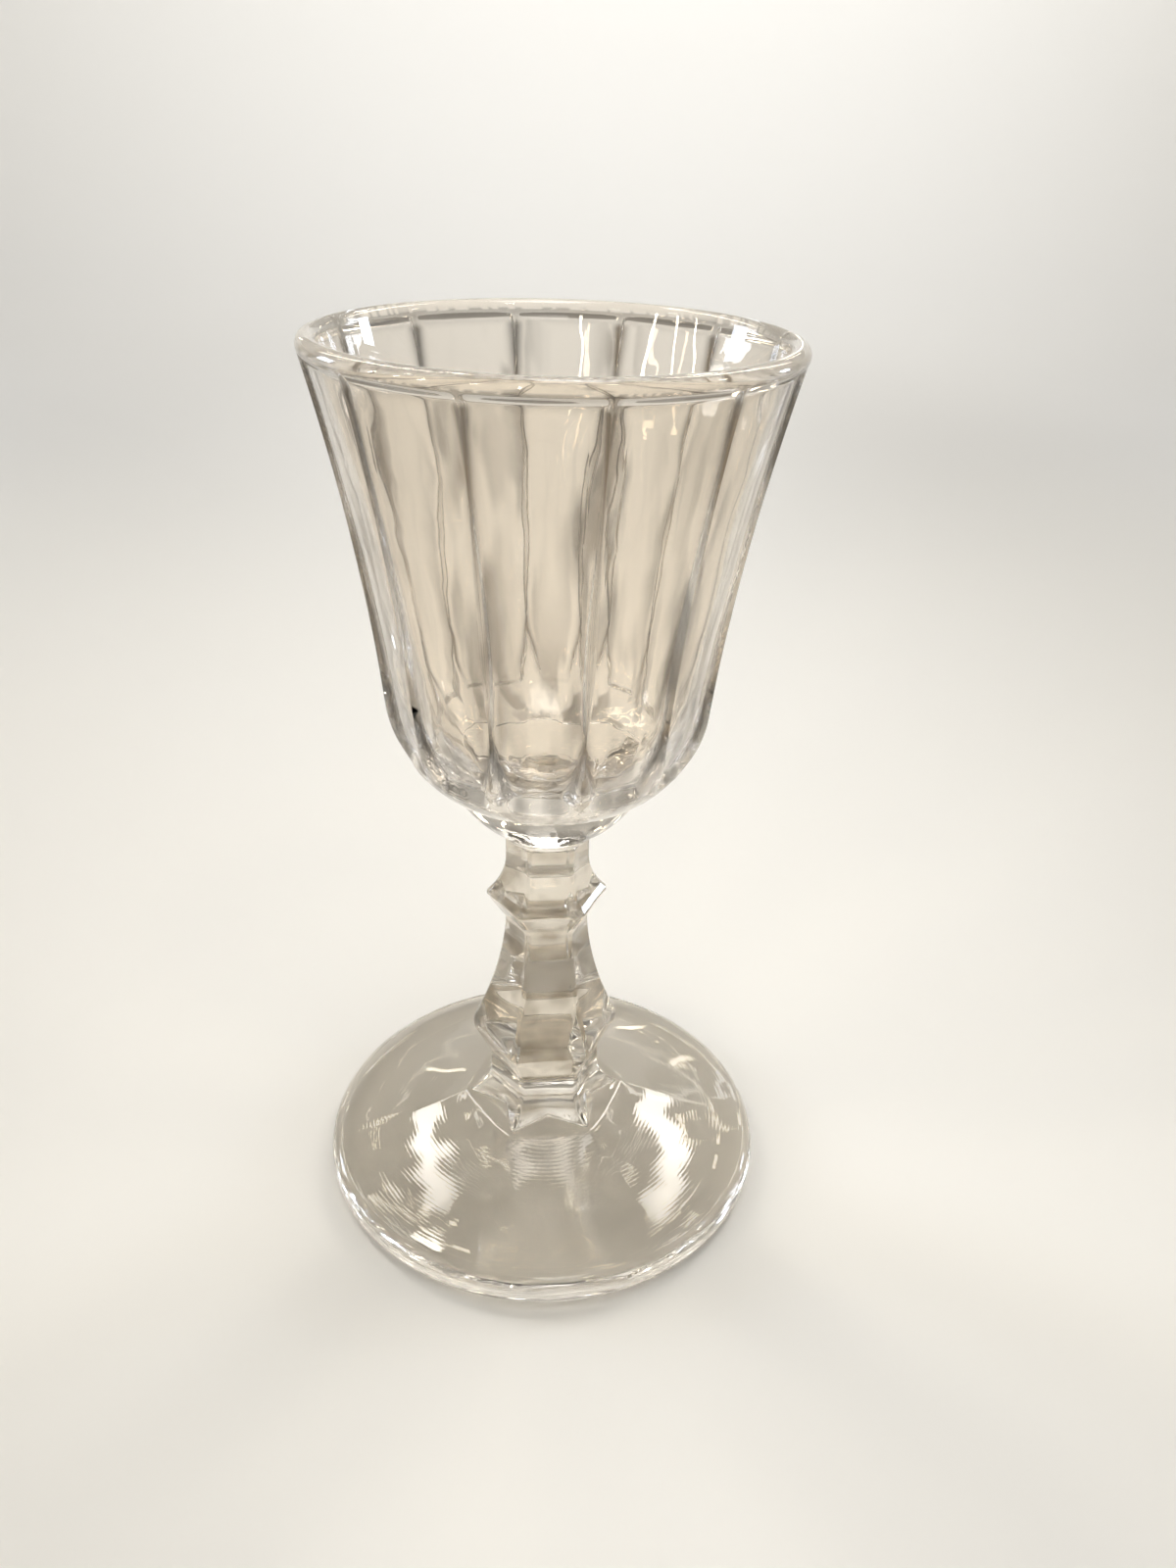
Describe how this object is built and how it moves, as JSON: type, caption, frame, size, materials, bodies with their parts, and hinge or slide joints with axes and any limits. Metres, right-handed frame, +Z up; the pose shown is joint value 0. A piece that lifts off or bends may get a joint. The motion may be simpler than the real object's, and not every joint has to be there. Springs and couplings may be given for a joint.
{
  "type": "cordial glass",
  "caption": "Small stemmed drinking glass for liqueur: a flared bowl with tapered flutes, a six-sided stem with a collar and a knop, and a round foot with sloping panels.",
  "frame": {"origin": "centre of the plane that the foot stands on", "axes": "+Z up along the axis of the glass, a flat of the stem faces -Y"},
  "size_m": [0.0594, 0.0594, 0.11],
  "materials": {
    "clear_glass": "clear fire-polished pressed glass"
  },
  "bodies": {
    "root": {"bowl": "clear_glass", "stem": "clear_glass", "foot": "clear_glass"}
  },
  "joints": []
}
